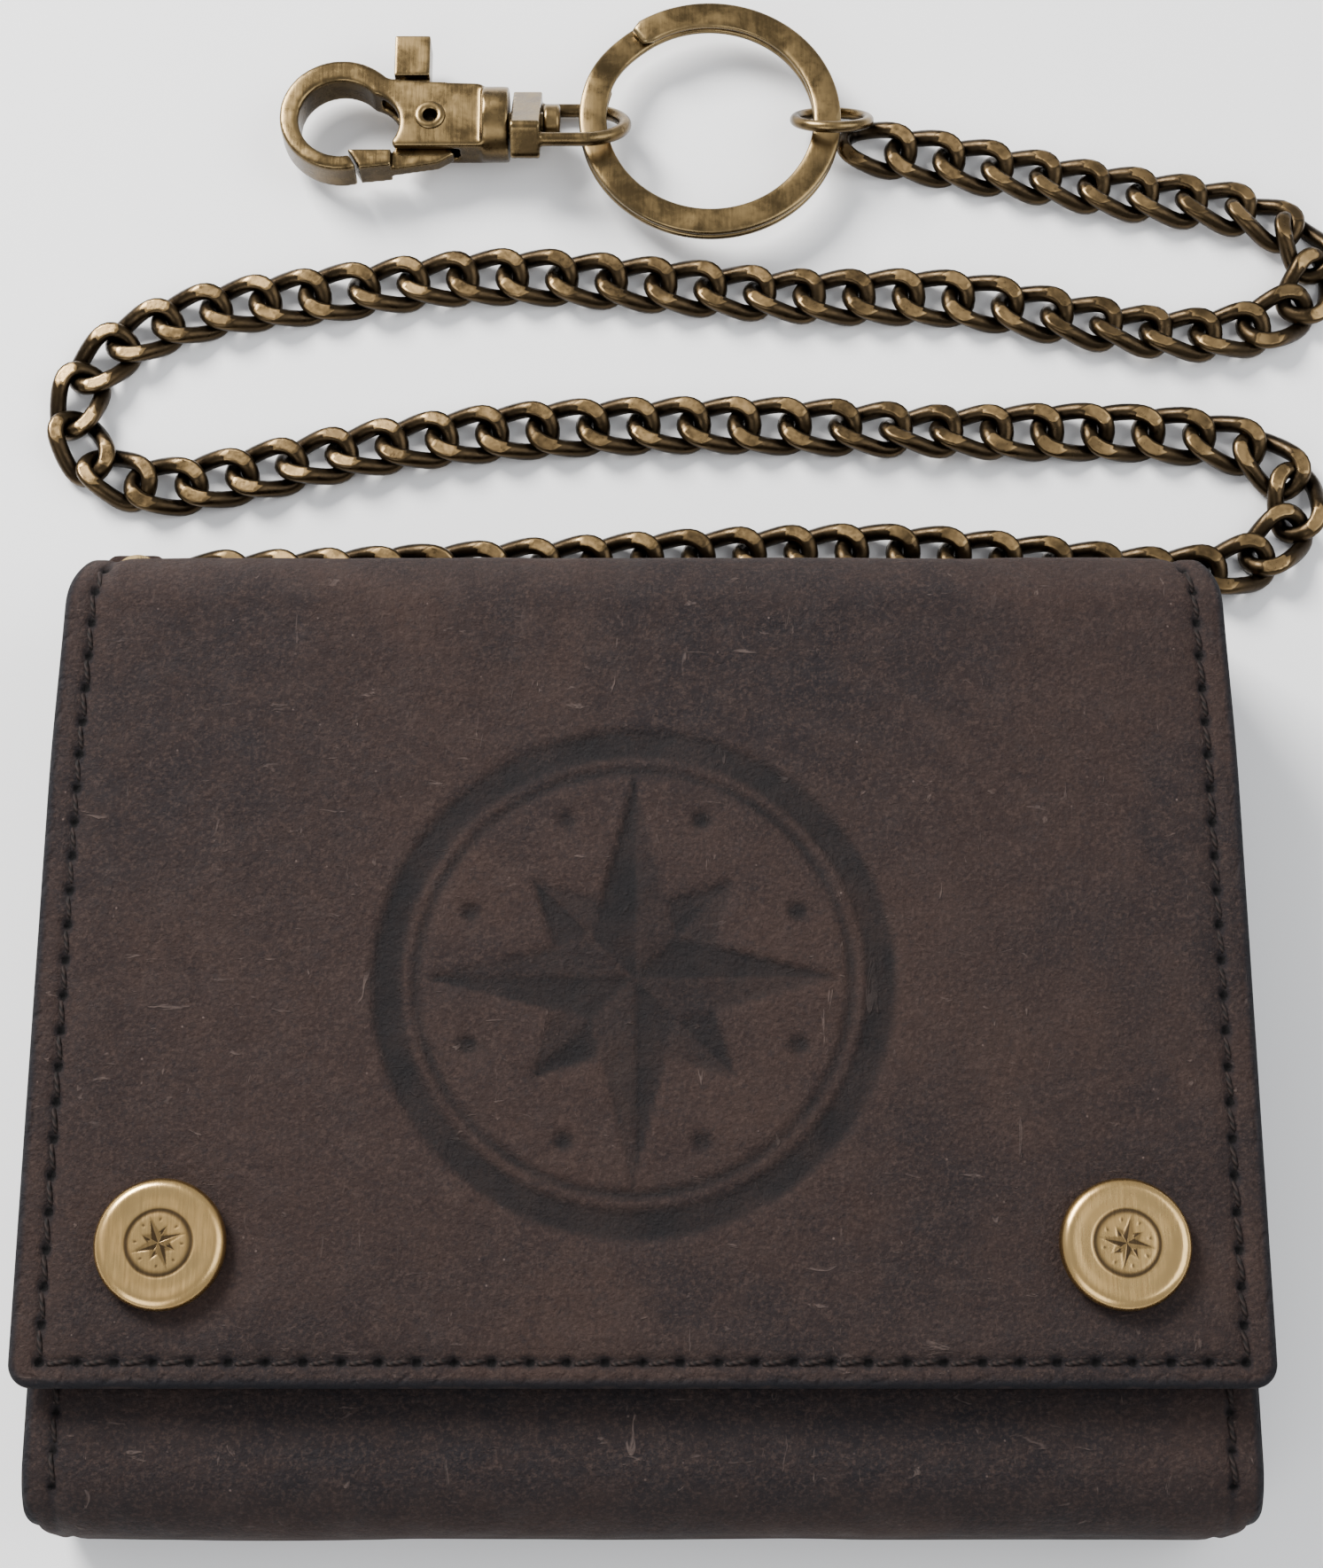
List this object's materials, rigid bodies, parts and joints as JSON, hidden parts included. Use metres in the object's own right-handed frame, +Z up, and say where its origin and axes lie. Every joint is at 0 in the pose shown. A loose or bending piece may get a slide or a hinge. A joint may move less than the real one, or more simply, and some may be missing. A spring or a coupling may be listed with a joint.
{
  "type": "chain wallet",
  "caption": "Leather flap wallet closed by two snaps, with gusseted pouch, zipped coin pocket and a curb chain ending in a split ring and trigger swivel hook.",
  "frame": {"origin": "middle of the closed wallet's back face, on the surface it lies on", "axes": "+Z up out of the flap, +Y from the flap's free edge to the hinge fold, +X to the right seen from above"},
  "size_m": [0.1564, 0.1865, 0.0272],
  "materials": {
    "cover_leather": "waxed matte",
    "lining_leather": "matte",
    "zip_cloth": "woven",
    "antique_brass": "antique, brushed",
    "chain_metal": "antique, blackened with worn facets",
    "spring_steel": "bright"
  },
  "bodies": {
    "wallet": {"outer_cover": "cover_leather", "back_lining": "lining_leather", "front_lining": "lining_leather", "note_divider": "lining_leather", "card_slot_back": "lining_leather", "card_slot_middle": "lining_leather", "card_slot_front": "lining_leather", "coin_pocket": "lining_leather", "zip_tape_back": "zip_cloth", "zip_tape_front": "zip_cloth", "zip_teeth_back": "antique_brass", "zip_teeth_front": "antique_brass", "zip_stops": "antique_brass", "gusset_left": "lining_leather", "gusset_right": "lining_leather", "snap_stud_left": "antique_brass", "snap_stud_right": "antique_brass", "snap_rivet_left": "antique_brass", "snap_rivet_right": "antique_brass", "chain_tab": "cover_leather", "tab_eyelet": "antique_brass", "tab_ring": "antique_brass", "wallet_chain": "chain_metal", "end_link": "antique_brass"},
    "flap": {"flap_outer": "cover_leather", "flap_lining": "lining_leather", "snap_cap_left": "antique_brass", "snap_socket_left": "antique_brass", "snap_spring_left": "spring_steel", "snap_cap_right": "antique_brass", "snap_socket_right": "antique_brass", "snap_spring_right": "spring_steel"},
    "slider": {"zip_slider": "antique_brass"},
    "pull": {"zip_pull": "antique_brass"},
    "ring": {"split_ring": "antique_brass"},
    "eye": {"swivel_eye": "antique_brass"},
    "hook": {"hook_body": "antique_brass", "swivel_post": "antique_brass", "trigger_rivet": "antique_brass", "trigger_spring": "spring_steel"},
    "lever": {"trigger": "antique_brass"}
  },
  "joints": [
    {"name": "flap_hinge", "type": "hinge", "parent": "wallet", "child": "flap", "pos_m": [0, 0.0445, 0.0245], "axis": [-1, 0, 0], "range_deg": [0, 180]},
    {"name": "zip_slide", "type": "slide", "parent": "wallet", "child": "slider", "axis": [-1, 0, 0], "range_m": [0, 0.072]},
    {"name": "zip_pull_swing", "type": "hinge", "parent": "slider", "child": "pull", "pos_m": [0.036, 0.02705, 0.01325], "axis": [0, 0, 1], "range_deg": [0, 180]},
    {"name": "ring_swing", "type": "hinge", "parent": "wallet", "child": "ring", "pos_m": [0.0224, 0.1173, 0.0047], "axis": [0, 0, -1], "range_deg": [0, 25]},
    {"name": "eye_swing", "type": "hinge", "parent": "ring", "child": "eye", "pos_m": [-0.0066, 0.1173, 0.0047], "axis": [0, 0, -1], "range_deg": [-12, 12]},
    {"name": "hook_swivel", "type": "hinge", "parent": "eye", "child": "hook", "pos_m": [-0.0266, 0.1166, 0.0047], "axis": [1, 0, 0], "continuous": true},
    {"name": "trigger_press", "type": "hinge", "parent": "hook", "child": "lever", "pos_m": [-0.0266, 0.1166, 0.0047], "axis": [0, 0, -1], "range_deg": [0, 25], "stiffness_Nm_per_rad": 0.02, "springref_deg": -8.59, "deforming": ["trigger_spring"]}
  ]
}
